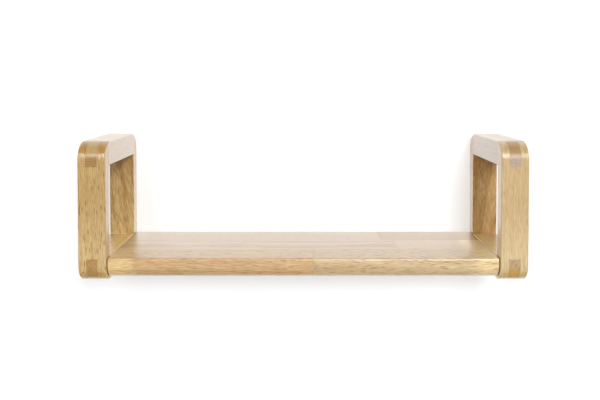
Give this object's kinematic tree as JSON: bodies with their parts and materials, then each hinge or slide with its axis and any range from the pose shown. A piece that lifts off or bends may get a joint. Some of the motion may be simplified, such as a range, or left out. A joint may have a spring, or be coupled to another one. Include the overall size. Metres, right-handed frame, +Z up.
{
  "type": "wall shelf",
  "caption": "Small oak wall shelf: a flat board carried between closed side frames with rounded corners, hung on keyhole plates behind the frames.",
  "frame": {"origin": "midway between the side frames and midway from the front faces to the wall face, level with the frames' undersides", "axes": "+X along the board to the right as seen from the front, +Y back to the wall, +Z up"},
  "size_m": [0.55, 0.14, 0.173],
  "materials": {
    "oak": "sanded oak under clear satin lacquer",
    "beech": "bare turned beech",
    "steel": "bright zinc-plated steel"
  },
  "bodies": {
    "root": {"left_front_post": "oak", "left_rear_post": "oak", "left_top_rail": "oak", "left_bottom_rail": "oak", "right_front_post": "oak", "right_rear_post": "oak", "right_top_rail": "oak", "right_bottom_rail": "oak", "shelf_front_stave_left": "oak", "shelf_front_stave_right": "oak", "shelf_middle_stave_left": "oak", "shelf_middle_stave_right": "oak", "shelf_rear_stave_left": "oak", "shelf_rear_stave_right": "oak", "left_shelf_dowels": "beech", "right_shelf_dowels": "beech", "left_hanger_plate": "steel", "right_hanger_plate": "steel", "left_hanger_screws": "steel", "right_hanger_screws": "steel"}
  },
  "joints": []
}
